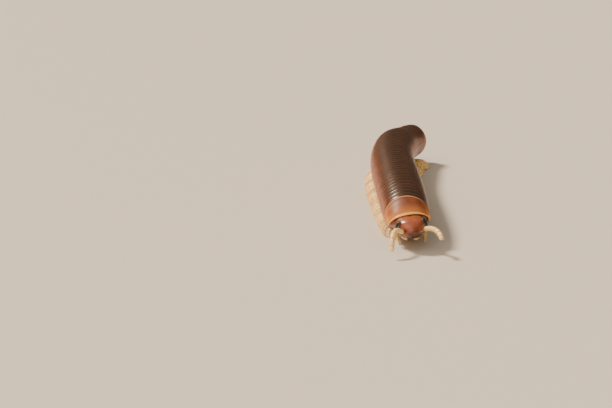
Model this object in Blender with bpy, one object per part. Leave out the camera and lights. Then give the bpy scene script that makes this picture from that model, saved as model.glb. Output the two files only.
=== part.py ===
"""Cylindrical millipede at life size, walking on a flat floor.

The animal faces -Y and its body runs back along +Y, then bends towards +X at the tail.
Its own left side is at +X. The floor is z = 0, and the origin is the middle of its footprint.
Lengths are written in millimetres and turned to metres by MM when a mesh is made.
"""

import math

import bmesh
import bpy
from mathutils import Vector

MM = 0.001
GAP = 0.3  # free space between pieces that meet
EYE_GAP = 0.12
CREASE_ANGLE = math.radians(35.0)  # faces that meet more sharply show an edge

# Trunk
RING_COUNT = 40  # rings between the collum and the tail
RINGS_PER_LENGTH = 5  # rings in each named length of the trunk
RING_PITCH = 1.5
FRONT_PITCH = 1.2  # the first rings are shorter
TAIL_PITCH_SHARE = 0.86  # of the pitch, at the last ring
PITCH_RINGS = 5.0  # rings over which the pitch changes at either end
SIDES = 22  # points round a trunk section
FULL_RADIUS = 3.5
FRONT_RADIUS = 3.08  # at the collum's rear edge
FRONT_GROWTH = 9.0  # length over which the front thickens
FRONT_FLATTENING = 0.2  # how much less tall than wide the front is
TAIL_TAPER = 0.55  # radius lost by the last ring
TAIL_TAPER_LENGTH = 13.0
BELLY_FLATTENING = 0.05
CENTRE_HEIGHT = 4.45  # of the body's middle line above the floor
FRONT_DROOP = 0.75  # how much lower the middle line is at the collum
FRONT_DROOP_LENGTH = 7.0
RING_PROFILE = ((0.0, 0.957), (0.46, 0.98), (0.92, 1.0))  # share of the pitch, share of the radius

# Course of the body over the floor
COLLUM_REAR = Vector((-1.76, -26.34))
BEND_START = 22.5
BEND_LENGTH = 40.0
BEND_ANGLE = math.radians(26.0)

# Legs
LEG_SIDES = 5
LEG_RADIUS = 0.28
KNEE_RADIUS = 0.96 * LEG_RADIUS
SHIN_RADIUS = 0.8 * LEG_RADIUS
CLAW_RADIUS = 0.13
LEG_ROOTS = ((0.75, 1.3), (0.95, 0.05))  # the sunk end and the hip: from the middle line, above the belly
KNEE_RISE = 0.75  # above the middle between belly and claw
FRONT_KNEE_DROP = 0.2  # of the first pair's knees below the belly
LEG_PLACES = (0.27, 0.73)  # share of the ring's length, for its two pairs
SINGLE_PAIR_RINGS = (2, 3, 4)
LEGLESS_RINGS = 2  # the last rings
WAVE_LEGS = 10  # pairs in one walking wave
WAVE_SWING = 0.45
WAVE_LIFT = 0.45
LEAST_LIFT = 0.12  # a claw with less lift than this stands
STANDING_PAIRS = 4  # the foremost pairs, which stand except for the first
FRONT_SPREAD = 2.5  # from the middle line to the claw
FULL_SPREAD = 4.85
SPREAD_LENGTH = 25.0
FIRST_REACH = 2.6  # how far forward the first pair points
FIRST_NARROWING = 1.7  # how much closer together its claws are
FIRST_HEIGHT = 1.25  # of its claws, which hang beside the mouth
FIRST_TURN = math.radians(9.0)  # towards the side that the head turns to
STRIDE_LEAN = 0.55  # of the second pair, towards that side
STRIDE_REACH = 1.45  # how much further forward its right leg steps
REACH_PAIRS = 1.6  # pairs over which this fades
FRONT_BOW = 1.3  # how far the knees behind the first pair stand out
BOW_LENGTH = 9.0

# Collum, the shield behind the head
COLLUM_SIDES = 24
COLLUM_EDGE_HALF_WIDTH = 2.8
COLLUM_EDGE_RISE = 1.6
COLLUM_EDGE_BASE = -0.4
COLLUM_LOBE_REACH = 1.68  # how far forward the lower lobes come
COLLUM_TOP_REACH = 3.15
LOBE_ANGLE = math.radians(112.0)
THROAT_SHARE = 0.86  # width of the throat, as a share of the shield's front edge
THROAT_REAR_SHARE = 0.75  # the same at the shield's rear edge
THROAT_DEPTH = 1.4

# Head
HEAD_YAW = math.radians(8.0)  # turned to the animal's left
HEAD_ROLL = math.radians(6.5)  # its right side down
HEAD_HEIGHT = 0.25  # of its base, above the body's middle line
HEAD_SHIFT = -0.1  # of its base, towards the animal's left
HEAD_GAP = 0.405  # from the collum's front edge to its base
HEAD_SIDES = 24
HEAD_SQUARENESS = 2.3
HEAD_SECTIONS = (
    # out from the collum's front edge, and the section's middle, half height and half width
    (0.0, 0.04, 1.28, 1.98),
    (0.6, 0.13, 1.63, 2.04),
    (1.2, 0.35, 1.67, 1.98),
    (1.8, 0.60, 1.46, 1.64),
    (2.35, 0.80, 1.15, 1.24),
    (2.8, 0.96, 0.77, 0.88),
    (3.05, 1.02, 0.44, 0.64),
    (3.18, 1.03, 0.18, 0.40),
)
EYE_PLACE = (1.1, math.radians(64.0))  # out from the collum's edge, angle from the top
EYE_RADII = (0.42, 0.58, 0.26)
EYE_DEPTH = 0.08  # of its middle below the head's surface
SOCKET_PLACE = (2.15, math.radians(70.0))
CHEEK_PLACE = (1.45, math.radians(116.0))
CHEEK_RADII = (0.8, 0.75, 0.4)
CHEEK_DEPTH = 0.25
MOUTH_PLACE = 2.75  # out from the collum's edge
MOUTH_SIZE = (3.0, 0.5, 0.14)

# Antennae
ARTICLE_LENGTHS = (0.45, 0.8, 0.72, 0.68, 0.68, 0.72, 0.4)
ARTICLE_RADII = (0.31, 0.33, 0.34, 0.35, 0.35, 0.35, 0.32)
ARTICLE_PROFILE = ((0.06, 0.0), (0.45, 0.8), (0.8, 1.0))  # share of the article, share of its swelling
NECK_RADIUS = 0.29
TIP_RADIUS = 0.2
ANTENNA_SIDES = 8
ANTENNA_REACH = {
    # side, up and forward of the curve's last three control points from the root
    "left": ((0.65, 0.2, 0.5), (1.35, 0.35, 2.0), (1.34, -0.85, 3.4)),
    "right": ((0.85, 0.8, 0.5), (1.75, 1.0, 1.9), (2.08, -1.55, 3.1)),
}

# Tail
TAIL_LENGTH = 3.3
TAIL_PROFILE = ((0.0, 0.95), (0.2, 0.97), (0.45, 0.93), (0.62, 0.8), (0.7, 0.62))  # length, radius
POINT_SHARE = 0.3  # how much further back the dorsal point comes
VALVE_PLACE = (0.85, -0.25, 0.62)  # side, up, share of the tail's length
VALVE_RADII = (0.95, 1.85, 1.25)


def smooth(x):
    """A rise from 0 to 1 with level ends."""
    x = min(1.0, max(0.0, x))
    return x * x * (3.0 - 2.0 * x)


def clear_scene():
    for obj in list(bpy.data.objects):
        bpy.data.objects.remove(obj)


def material(name, colour, roughness):
    made = bpy.data.materials.new(name)
    made.use_nodes = True
    shader = made.node_tree.nodes["Principled BSDF"]
    shader.inputs["Base Color"].default_value = (*colour, 1.0)
    shader.inputs["Roughness"].default_value = roughness
    shader.inputs["Metallic"].default_value = 0.0
    return made


# Rings and the course of the body

def ring_pitch(ring):
    """Length of a ring, counted from 2 behind the collum."""
    front = FRONT_PITCH + (RING_PITCH - FRONT_PITCH) * smooth((ring - 2) / PITCH_RINGS)
    from_tail = RING_COUNT + 1 - ring
    return front * (TAIL_PITCH_SHARE + (1.0 - TAIL_PITCH_SHARE) * smooth(from_tail / PITCH_RINGS))


def ring_starts():
    """Where each ring starts, from the collum's rear edge, with the end of the last one."""
    starts = [0.0]
    for ring in range(2, RING_COUNT + 2):
        starts.append(starts[-1] + ring_pitch(ring))
    return starts


STARTS = ring_starts()
TRUNK_LENGTH = STARTS[-1]


def heading(s):
    """Turn of the body's backward direction from +Y towards +X."""
    return BEND_ANGLE * max(0.0, (s - BEND_START) / BEND_LENGTH) ** 2


def tail_share(s):
    return smooth((s - TRUNK_LENGTH + TAIL_TAPER_LENGTH) / TAIL_TAPER_LENGTH)


def half_width(s):
    front = FULL_RADIUS - (FULL_RADIUS - FRONT_RADIUS) * math.exp(-max(s, 0.0) / FRONT_GROWTH)
    return front - TAIL_TAPER * tail_share(s)


def half_height(s):
    return half_width(s) - FRONT_FLATTENING * math.exp(-max(s, 0.0) / FRONT_DROOP_LENGTH)


def centre_height(s):
    droop = FRONT_DROOP * math.exp(-max(s, 0.0) / FRONT_DROOP_LENGTH)
    return CENTRE_HEIGHT - droop - TAIL_TAPER * tail_share(s)


class Station:
    """A place on the body's middle line, with its directions."""

    def __init__(self, s):
        steps = max(1, int(abs(s) / 0.25))
        step = s / steps
        plan = COLLUM_REAR.copy()
        for i in range(steps):
            turn = heading((i + 0.5) * step)
            plan += Vector((math.sin(turn), math.cos(turn))) * step
        turn = heading(s)
        rise = (centre_height(s + 0.1) - centre_height(s)) / 0.1
        self.centre = Vector((plan.x, plan.y, centre_height(s)))
        self.back = Vector((math.sin(turn), math.cos(turn), rise)).normalized()
        self.side = Vector((math.cos(turn), -math.sin(turn), 0.0))
        self.up = self.side.cross(self.back)

    def point(self, side, up, back=0.0):
        return self.centre + self.side * side + self.up * up + self.back * back


def section(s, share):
    """Points round the trunk at s, from the top and towards +X."""
    place = Station(s)
    points = []
    for i in range(SIDES):
        angle = 2.0 * math.pi * i / SIDES
        belly = 1.0 - BELLY_FLATTENING * max(0.0, -math.cos(angle)) ** 2
        side = half_width(s) * share * math.sin(angle)
        up = half_height(s) * share * belly * math.cos(angle)
        points.append(place.point(side, up))
    return points


# Meshes

def mesh_object(name, points, faces):
    """An object whose points are given in millimetres, with its faces turned outwards."""
    mesh = bpy.data.meshes.new(name)
    mesh.from_pydata([p * MM for p in points], [], faces)
    made = bmesh.new()
    made.from_mesh(mesh)
    bmesh.ops.recalc_face_normals(made, faces=made.faces)
    if made.calc_volume(signed=True) < 0.0:
        bmesh.ops.reverse_faces(made, faces=made.faces)
    made.to_mesh(mesh)
    made.free()
    obj = bpy.data.objects.new(name, mesh)
    bpy.context.scene.collection.objects.link(obj)
    return obj


def loft(name, loops):
    """A closed body through loops of points alike in number."""
    count = len(loops[0])
    points = [p for loop in loops for p in loop]
    faces = [tuple(range(count))]
    for i in range(len(loops) - 1):
        for j in range(count):
            k = (j + 1) % count
            faces.append((i * count + j, i * count + k, (i + 1) * count + k, (i + 1) * count + j))
    last = (len(loops) - 1) * count
    faces.append(tuple(last + j for j in reversed(range(count))))
    return mesh_object(name, points, faces)


def ellipsoid(name, centre, axes, radii, segments=12, rings=8):
    """A closed ellipsoid with the given directions and half sizes."""
    loops = []
    for i in range(1, rings):
        polar = math.pi * i / rings
        loop = []
        for j in range(segments):
            around = 2.0 * math.pi * j / segments
            parts = (
                math.sin(polar) * math.cos(around),
                math.sin(polar) * math.sin(around),
                math.cos(polar),
            )
            loop.append(centre + sum((a * r * q for a, r, q in zip(axes, radii, parts)), Vector()))
        loops.append(loop)
    points = [p for loop in loops for p in loop]
    top = len(points)
    points.append(centre + axes[2] * radii[2])
    points.append(centre - axes[2] * radii[2])
    last = (rings - 2) * segments
    faces = []
    for j in range(segments):
        k = (j + 1) % segments
        faces.append((top, j, k))
        faces.append((top + 1, last + k, last + j))
        for i in range(rings - 2):
            row = i * segments
            faces.append((row + j, row + segments + j, row + segments + k, row + k))
    return mesh_object(name, points, faces)


def tube(name, centres, radii, sides, floor_tip=False):
    """A closed tube through centres. With floor_tip its last loop lies level, as a foot on the floor."""
    loops = []
    previous = None
    for i, centre in enumerate(centres):
        before = centres[max(i - 1, 0)]
        after = centres[min(i + 1, len(centres) - 1)]
        along = (after - before).normalized()
        if floor_tip and i == len(centres) - 1:
            along = Vector((0.0, 0.0, -1.0))
        if previous is None:
            across = along.orthogonal().normalized()
        else:
            across = (previous - along * previous.dot(along)).normalized()
        previous = across
        other = along.cross(across)
        loop = []
        for j in range(sides):
            angle = 2.0 * math.pi * j / sides
            loop.append(centre + (across * math.cos(angle) + other * math.sin(angle)) * radii[i])
        loops.append(loop)
    return loft(name, loops)


def keep_largest(mesh):
    """Keeps only the closed surface with the largest volume."""
    made = bmesh.new()
    made.from_mesh(mesh)
    unseen = set(made.faces)
    islands = []
    while unseen:
        stack = [unseen.pop()]
        island = set(stack)
        while stack:
            for edge in stack.pop().edges:
                for face in edge.link_faces:
                    if face in unseen:
                        unseen.discard(face)
                        island.add(face)
                        stack.append(face)
        islands.append(island)

    def enclosed(island):
        total = 0.0
        for face in island:
            corners = [v.co for v in face.verts]
            for i in range(1, len(corners) - 1):
                total += corners[0].dot(corners[i].cross(corners[i + 1]))
        return total

    islands.sort(key=enclosed, reverse=True)
    for island in islands[1:]:
        bmesh.ops.delete(made, geom=list(island), context="FACES")
    made.to_mesh(mesh)
    made.free()


def combine(base, others, operation):
    """Joins others to base, or cuts them from it, and removes them."""
    tools = bpy.data.collections.new(base.name + "_tools")
    bpy.context.scene.collection.children.link(tools)
    for other in others:
        bpy.context.scene.collection.objects.unlink(other)
        tools.objects.link(other)
    change = base.modifiers.new("combine", "BOOLEAN")
    change.operation = operation
    change.operand_type = "COLLECTION"
    change.collection = tools
    change.solver = "EXACT"
    bpy.context.view_layer.update()
    graph = bpy.context.evaluated_depsgraph_get()
    mesh = bpy.data.meshes.new_from_object(base.evaluated_get(graph))
    base.modifiers.clear()
    base.data = mesh
    for other in others:
        bpy.data.objects.remove(other)
    bpy.data.collections.remove(tools)
    keep_largest(base.data)


def finish(obj, finish_material):
    obj.data.materials.clear()
    obj.data.materials.append(finish_material)
    obj.data.shade_smooth()
    obj.data.set_sharp_from_angle(angle=CREASE_ANGLE)


# Legs

def leg_pairs():
    """(ring, place from the collum's rear edge) of every pair of legs, from the front."""
    pairs = []
    for ring in range(2, RING_COUNT + 2 - LEGLESS_RINGS):
        start = STARTS[ring - 2]
        places = (0.5,) if ring in SINGLE_PAIR_RINGS else LEG_PLACES
        for place in places:
            pairs.append((ring, start + place * ring_pitch(ring)))
    return pairs


PAIRS = leg_pairs()
FRONT_PAIRS = 2 * RINGS_PER_LENGTH - len(SINGLE_PAIR_RINGS)  # pairs on the first length


def frontness(index):
    """1 for the first pair of legs, and less for each pair behind it."""
    return math.exp(-index / REACH_PAIRS)


def stride(index, width):
    """1 for the second pair of legs, and less for the pairs beside it."""
    return math.exp(-((index - 1) / width) ** 2)


def leg_shape(index, s):
    """(forward reach of the claw, its distance from the middle line, its height) for a pair."""
    phase = 2.0 * math.pi * (index - FRONT_PAIRS + 0.5) / WAVE_LEGS
    near = frontness(index)
    reach = FIRST_REACH * near - WAVE_SWING * math.sin(phase) * (1.0 - near)
    spread = FRONT_SPREAD + (FULL_SPREAD - FRONT_SPREAD) * (1.0 - math.exp(-s / SPREAD_LENGTH))
    spread -= FIRST_NARROWING * near
    lift = WAVE_LIFT * max(0.0, math.cos(phase)) ** 2
    standing = lift < LEAST_LIFT or index < STANDING_PAIRS
    height = 0.0 if standing else lift
    return reach, spread, FIRST_HEIGHT if index == 0 else height


def leg(name, index, s, hand):
    """One leg, from inside the belly to the claw. hand is 1 on the animal's left."""
    place = Station(s)
    reach, spread, height = leg_shape(index, s)
    belly = place.centre.z - half_height(s) * (1.0 - BELLY_FLATTENING)
    knee = 0.5 * (height + belly) + KNEE_RISE
    knee += (belly - FRONT_KNEE_DROP - knee) * frontness(index)
    bow = FRONT_BOW * math.exp(-s / BOW_LENGTH) * (1.0 - frontness(index))
    turn = FIRST_TURN * frontness(index)
    forward = place.side * math.sin(turn) - place.back * math.cos(turn)
    lean = STRIDE_LEAN * stride(index, 1.2)
    if hand < 0:
        reach += STRIDE_REACH * stride(index, 0.7)

    def at(share, side, z):
        across = hand * side + lean * min(1.0, 2.0 * share)
        spot = place.centre + place.side * across + forward * (reach * share)
        return Vector((spot.x, spot.y, z))

    # the sunk end and the hip, then the knee, the shin and the claw
    centres = [at(0.0, side, belly + above) for side, above in LEG_ROOTS]
    centres += [
        at(0.5, 0.72 * spread + bow, knee + 0.3 * bow),
        at(0.82, 0.93 * spread + 0.6 * bow, 0.45 * knee + 0.55 * height),
        at(1.0, spread, height),
    ]
    radii = [LEG_RADIUS, LEG_RADIUS, KNEE_RADIUS, SHIN_RADIUS, CLAW_RADIUS]
    return tube(name, centres, radii, LEG_SIDES, floor_tip=height == 0.0)


# The trunk's named lengths

def trunk_length(number, skin):
    first = 2 + (number - 1) * RINGS_PER_LENGTH
    last = first + RINGS_PER_LENGTH - 1
    loops = []
    for ring in range(first, last + 1):
        start = STARTS[ring - 2]
        for place, share in RING_PROFILE:
            s = start + place * ring_pitch(ring)
            if ring == first and place == 0.0:
                s += 0.5 * GAP
            if ring == last:
                s = min(s, start + ring_pitch(ring) - 0.5 * GAP)
            loops.append(section(s, share))
    body = loft(f"trunk_{number}", loops)
    legs = []
    for index, (ring, s) in enumerate(PAIRS):
        if first <= ring <= last:
            legs.append(leg(f"leg_{index}_left", index, s, 1))
            legs.append(leg(f"leg_{index}_right", index, s, -1))
    combine(body, legs, "UNION")
    finish(body, skin)


# Collum and head

class FrontFrame:
    """Directions of the collum and head, which turn towards the animal's left going forward."""

    def __init__(self):
        self.base = Station(0.0)
        self.side, self.up, self.forward = self.directions(1.0)

    def directions(self, share):
        turn = HEAD_YAW * share
        roll = HEAD_ROLL * share
        level = Vector((math.cos(turn), math.sin(turn), 0.0))
        up = self.base.up.lerp(Vector((0.0, 0.0, 1.0)), share).normalized()
        side = level * math.cos(roll) + up * math.sin(roll)
        return side, (up * math.cos(roll) - level * math.sin(roll)), level.cross(up)

    def point(self, side, up, forward, share=1.0):
        """share is 0 at the collum's rear edge and 1 at its front edge and beyond."""
        across, upward, _ = self.directions(share)
        onward = self.directions(0.5 * share)[2]
        return self.base.centre + across * side + upward * up + onward * forward


def edge_reach(up):
    """How far forward the collum's slanted front edge lies at a height above the middle line."""
    slope = (COLLUM_TOP_REACH - COLLUM_LOBE_REACH) / COLLUM_EDGE_RISE
    return COLLUM_LOBE_REACH + slope * (up - COLLUM_EDGE_BASE)


def collum_edge(angle):
    """(side, up) of the front section at an angle from the top."""
    if abs(angle) <= LOBE_ANGLE:
        turn = 0.5 * math.pi * angle / LOBE_ANGLE
        return (
            COLLUM_EDGE_HALF_WIDTH * math.sin(turn),
            COLLUM_EDGE_BASE + COLLUM_EDGE_RISE * math.cos(turn),
        )
    turn = 0.5 * math.pi * (abs(angle) - LOBE_ANGLE) / (math.pi - LOBE_ANGLE)
    side = THROAT_SHARE * COLLUM_EDGE_HALF_WIDTH * math.cos(turn)
    return math.copysign(side, angle), COLLUM_EDGE_BASE - THROAT_DEPTH * math.sin(turn)


def collum_loop(frame, share):
    """A section of the collum: share is 0 at its rear edge and 1 at its front edge."""
    loop = []
    for i in range(COLLUM_SIDES):
        angle = 2.0 * math.pi * (i + 0.5) / COLLUM_SIDES
        if angle > math.pi:
            angle -= 2.0 * math.pi
        throat = 1.0 if abs(angle) <= LOBE_ANGLE else THROAT_REAR_SHARE
        rear_side = half_width(0.0) * throat * math.sin(angle)
        rear_up = half_height(0.0) * throat * math.cos(angle)
        front_side, front_up = collum_edge(angle)
        crown = math.cos(0.5 * math.pi * share)
        side = front_side + (rear_side - front_side) * crown ** 0.8
        up = front_up + (rear_up - front_up) * crown
        forward = share * edge_reach(front_up)
        loop.append(frame.point(side, up, forward, share))
    return loop


def collum(frame, skin):
    loops = [collum_loop(frame, share) for share in (0.0, 0.3, 0.6, 0.85, 1.0)]
    offset = frame.forward * (0.5 * GAP)
    loops = [[p + offset for p in loop] for loop in loops]
    finish(loft("collum", loops), skin)


class HeadFrame:
    """The head's base plane, parallel to the collum's front edge."""

    def __init__(self, frame):
        slope = Vector((0.0, COLLUM_EDGE_RISE, COLLUM_TOP_REACH - COLLUM_LOBE_REACH)).normalized()
        self.tall = (frame.up * slope.y + frame.forward * slope.z).normalized()
        self.side = frame.side
        self.out = (frame.forward * slope.y - frame.up * slope.z).normalized()
        self.centre = frame.point(HEAD_SHIFT, HEAD_HEIGHT, edge_reach(HEAD_HEIGHT))
        self.centre += self.out * HEAD_GAP

    def surface(self, out, around):
        """A point of the head, around from its top towards the animal's left."""
        middle, tall, wide = head_section(out)
        cos, sin = math.cos(around), math.sin(around)
        power = 2.0 / HEAD_SQUARENESS
        side = wide * math.copysign(abs(sin) ** power, sin)
        up = middle + tall * math.copysign(abs(cos) ** power, cos)
        return self.centre + self.side * side + self.tall * up + self.out * out

    def axes(self, place, hand):
        """Directions at a place on the head: along it, towards its top, and out of it."""
        out, around = place[0], hand * place[1]
        along = self.surface(out + 0.1, around) - self.surface(out - 0.1, around)
        across = self.surface(out, around + 0.1) - self.surface(out, around - 0.1)
        normal = across.cross(along).normalized()
        if normal.dot(self.side * math.sin(around) + self.tall * math.cos(around)) < 0.0:
            normal.negate()
        along.normalize()
        return along, normal.cross(along), normal

    def place(self, place, hand):
        return self.surface(place[0], hand * place[1])


def head_section(out):
    """Middle, half height and half width of the head's section at a distance from its base."""
    for near, far in zip(HEAD_SECTIONS, HEAD_SECTIONS[1:]):
        if out <= far[0]:
            break
    share = (out - near[0]) / (far[0] - near[0])
    return [a + (b - a) * share for a, b in zip(near[1:], far[1:])]


def block(name, centre, axes, sizes):
    """A box with the given directions and full sizes."""
    points = []
    for i in (-0.5, 0.5):
        for j in (-0.5, 0.5):
            for k in (-0.5, 0.5):
                points.append(
                    centre + axes[0] * (i * sizes[0]) + axes[1] * (j * sizes[1]) + axes[2] * (k * sizes[2])
                )
    faces = [(0, 1, 3, 2), (4, 6, 7, 5), (0, 4, 5, 1), (2, 3, 7, 6), (0, 2, 6, 4), (1, 5, 7, 3)]
    return mesh_object(name, points, faces)


def head_and_eyes(head, skin, eye_skin):
    loops = []
    for row in HEAD_SECTIONS:
        turns = [2.0 * math.pi * j / HEAD_SIDES for j in range(HEAD_SIDES)]
        loops.append([head.surface(row[0], turn) for turn in turns])
    body = loft("head", loops)
    cheeks = []
    cutters = []
    for hand, word in ((1, "left"), (-1, "right")):
        axes = head.axes(CHEEK_PLACE, hand)
        centre = head.place(CHEEK_PLACE, hand) - axes[2] * CHEEK_DEPTH
        cheeks.append(ellipsoid(f"cheek_{word}", centre, axes, CHEEK_RADII))
        axes = head.axes(EYE_PLACE, hand)
        centre = head.place(EYE_PLACE, hand) - axes[2] * EYE_DEPTH
        wide = tuple(r + EYE_GAP for r in EYE_RADII)
        cutters.append(ellipsoid(f"eye_cut_{word}", centre, axes, wide, segments=10, rings=6))
        eye = ellipsoid(f"eye_{word}", centre, axes, EYE_RADII, segments=10, rings=6)
        finish(eye, eye_skin)
    middle, tall, _ = head_section(MOUTH_PLACE)
    mouth = head.centre + head.out * MOUTH_PLACE + head.tall * (middle - tall)
    cutters.append(block("mouth_cut", mouth, (head.side, head.tall, head.out), MOUTH_SIZE))
    combine(body, cheeks, "UNION")
    combine(body, cutters, "DIFFERENCE")
    finish(body, skin)


def curve_point(controls, t):
    """A point on the cubic Bezier curve through four control points."""
    a, b, c, d = controls
    u = 1.0 - t
    return a * u ** 3 + b * (3 * u * u * t) + c * (3 * u * t * t) + d * t ** 3


def antenna(name, controls, skin):
    """Seven beaded articles along a curve."""
    total = sum(ARTICLE_LENGTHS)
    centres = []
    radii = []
    travelled = 0.0
    for length, radius in zip(ARTICLE_LENGTHS, ARTICLE_RADII):
        for share, swell in ARTICLE_PROFILE:
            centres.append(curve_point(controls, (travelled + share * length) / total))
            radii.append(NECK_RADIUS + (radius - NECK_RADIUS) * swell)
        travelled += length
    centres.append(curve_point(controls, 1.0))
    radii.append(TIP_RADIUS)
    body = tube(name, centres, radii, ANTENNA_SIDES)
    finish(body, skin)


def antennae(frame, head, skin):
    for hand, word in ((1, "left"), (-1, "right")):
        root = head.place(SOCKET_PLACE, hand) + head.axes(SOCKET_PLACE, hand)[2] * GAP
        controls = [root]
        for side, up, forward in ANTENNA_REACH[word]:
            controls.append(root + frame.side * (hand * side) + frame.up * up + frame.forward * forward)
        antenna(f"antenna_{word}", controls, skin)


# Tail

def tail(skin):
    """The last piece of the body, with its blunt dorsal point and the two rounded anal valves."""
    place = Station(TRUNK_LENGTH)
    loops = []
    for share, radius in TAIL_PROFILE:
        loop = []
        for i in range(SIDES):
            angle = 2.0 * math.pi * i / SIDES
            top = max(0.0, math.cos(angle)) ** 6
            back = 0.5 * GAP + TAIL_LENGTH * share * (1.0 + POINT_SHARE * top)
            side = half_width(TRUNK_LENGTH) * radius * math.sin(angle)
            up = half_height(TRUNK_LENGTH) * radius * math.cos(angle)
            loop.append(place.point(side, up, back))
        loops.append(loop)
    body = loft("tail", loops)
    valves = []
    for hand in (1, -1):
        side, up, back = VALVE_PLACE
        centre = place.point(hand * side, up, back * TAIL_LENGTH)
        axes = (place.side, place.up, place.back)
        valves.append(ellipsoid(f"valve_{hand}", centre, axes, VALVE_RADII))
    combine(body, valves, "UNION")
    finish(body, skin)


def main():
    clear_scene()
    dark_shell = material("dark brown cuticle", (0.11, 0.045, 0.025), 0.3)
    red_shell = material("red brown cuticle", (0.32, 0.1, 0.04), 0.25)
    pale_limb = material("cream limb cuticle", (0.85, 0.66, 0.36), 0.45)
    black_eye = material("black eye", (0.012, 0.01, 0.01), 0.2)
    for number in range(1, RING_COUNT // RINGS_PER_LENGTH + 1):
        trunk_length(number, dark_shell)
    frame = FrontFrame()
    head = HeadFrame(frame)
    collum(frame, red_shell)
    head_and_eyes(head, red_shell, black_eye)
    antennae(frame, head, pale_limb)
    tail(dark_shell)


main()
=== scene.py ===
import math
import random

import bmesh
import bpy
from mathutils import Matrix, Vector


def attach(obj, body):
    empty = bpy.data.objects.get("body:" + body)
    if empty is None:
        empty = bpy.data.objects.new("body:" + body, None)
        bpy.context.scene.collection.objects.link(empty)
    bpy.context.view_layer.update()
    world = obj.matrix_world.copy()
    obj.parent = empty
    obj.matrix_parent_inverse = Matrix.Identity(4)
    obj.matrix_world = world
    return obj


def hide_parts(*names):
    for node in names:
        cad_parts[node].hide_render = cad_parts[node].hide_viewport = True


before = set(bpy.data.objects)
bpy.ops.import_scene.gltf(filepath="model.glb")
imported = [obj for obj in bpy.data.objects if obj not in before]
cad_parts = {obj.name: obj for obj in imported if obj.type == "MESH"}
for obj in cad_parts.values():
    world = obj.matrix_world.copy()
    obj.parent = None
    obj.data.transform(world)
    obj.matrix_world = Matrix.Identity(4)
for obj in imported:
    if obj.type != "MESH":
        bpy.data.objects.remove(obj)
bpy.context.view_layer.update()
scene = bpy.context.scene
mm = 0.001
rand = random.Random(11)


# Small helpers

def smooth(x):
    # a rise from 0 to 1 with level ends
    x = min(1.0, max(0.0, x))
    return x * x * (3.0 - 2.0 * x)


def bump(x, width):
    # a soft hump of height 1 round x = 0
    return math.exp(-(x / width) ** 2)


def linear(hexColour):
    # an sRGB hex colour as the linear values that a shader takes
    parts = [int(hexColour[i:i + 2], 16) / 255 for i in (0, 2, 4)]
    return (*[c / 12.92 if c <= 0.04045 else ((c + 0.055) / 1.055) ** 2.4 for c in parts], 1.0)


def nextLoop(bm, loop):
    # extrudes a closed row of vertices and gives the new row in the same order
    edges = [bm.edges.get((loop[i], loop[(i + 1) % len(loop)])) for i in range(len(loop))]
    made = bmesh.ops.extrude_edge_only(bm, edges=edges)["geom"]
    fresh = {v for v in made if isinstance(v, bmesh.types.BMVert)}
    return [next(e.other_vert(v) for e in v.link_edges if e.other_vert(v) in fresh) for v in loop]


def sweep(bm, rows, marks, wrap=0.0):
    # skins rows of points with quads and closes both ends. marks holds the two map values of every point,
    # and wrap is the length after which the first of them starts again round a row
    u = bm.verts.layers.float.get("u") or bm.verts.layers.float.new("u")
    v = bm.verts.layers.float.get("v") or bm.verts.layers.float.new("v")
    uv = bm.loops.layers.uv.get("shellMap") or bm.loops.layers.uv.new("shellMap")
    old = set(bm.faces)
    loop = bmesh.ops.create_circle(bm, segments=len(rows[0]), radius=1.0)["verts"]
    ends = [loop]
    for i, (points, values) in enumerate(zip(rows, marks)):
        if i:
            loop = nextLoop(bm, loop)
        for vert, point, value in zip(loop, points, values):
            vert.co = point
            vert[u], vert[v] = value
    ends.append(loop)
    for end in ends:
        rim = [bm.edges.get((end[i], end[i - 1])) for i in range(len(end))]
        lid = bmesh.ops.contextual_create(bm, geom=rim)
        bmesh.ops.poke(bm, faces=lid["faces"])
    for face in set(bm.faces) - old:
        values = [(corner.vert[u], corner.vert[v]) for corner in face.loops]
        high = max(a for a, _ in values)
        for corner, (a, b) in zip(face.loops, values):
            if wrap and high - a > 0.5 * wrap:
                a += wrap
            corner[uv].uv = (a, b)


def finishPiece(name, bm, skin, nodes=()):
    # closes the work on a mesh: normals outward, metres, smooth, material, and the body it rides on
    bmesh.ops.recalc_face_normals(bm, faces=bm.faces)
    mesh = bpy.data.meshes.new(name)
    bm.to_mesh(mesh)
    bm.free()
    mesh.transform(Matrix.Scale(mm, 4))
    mesh.shade_smooth()
    mesh.materials.append(skin)
    piece = bpy.data.objects.new(name, mesh)
    scene.collection.objects.link(piece)
    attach(piece, "root")
    if nodes:
        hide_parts(*nodes)
    return piece


def spline(table, x):
    # a smooth curve through the rows of a table whose first value rises
    i = max(0, min(len(table) - 2, sum(1 for row in table if row[0] <= x) - 1))
    a, b = table[i], table[i + 1]
    before, after = table[max(0, i - 1)], table[min(len(table) - 1, i + 2)]
    span = b[0] - a[0]
    t = (x - a[0]) / span
    made = []
    for k in range(1, len(a)):
        left = (b[k] - before[k]) / (b[0] - before[0]) * span
        right = (after[k] - a[k]) / (after[0] - a[0]) * span
        made.append(a[k] * (2 * t ** 3 - 3 * t ** 2 + 1) + left * (t ** 3 - 2 * t ** 2 + t)
                    + b[k] * (3 * t ** 2 - 2 * t ** 3) + right * (t ** 3 - t ** 2))
    return made


# Materials

surface = {
    # in mm: the width of the clouds of colour, and the depth of the grain, the striae and the hoops
    "clouds": 1.7, "grainDepth": 0.02, "striaDepth": 0.012, "hoopDepth": 0.008,
}


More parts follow.
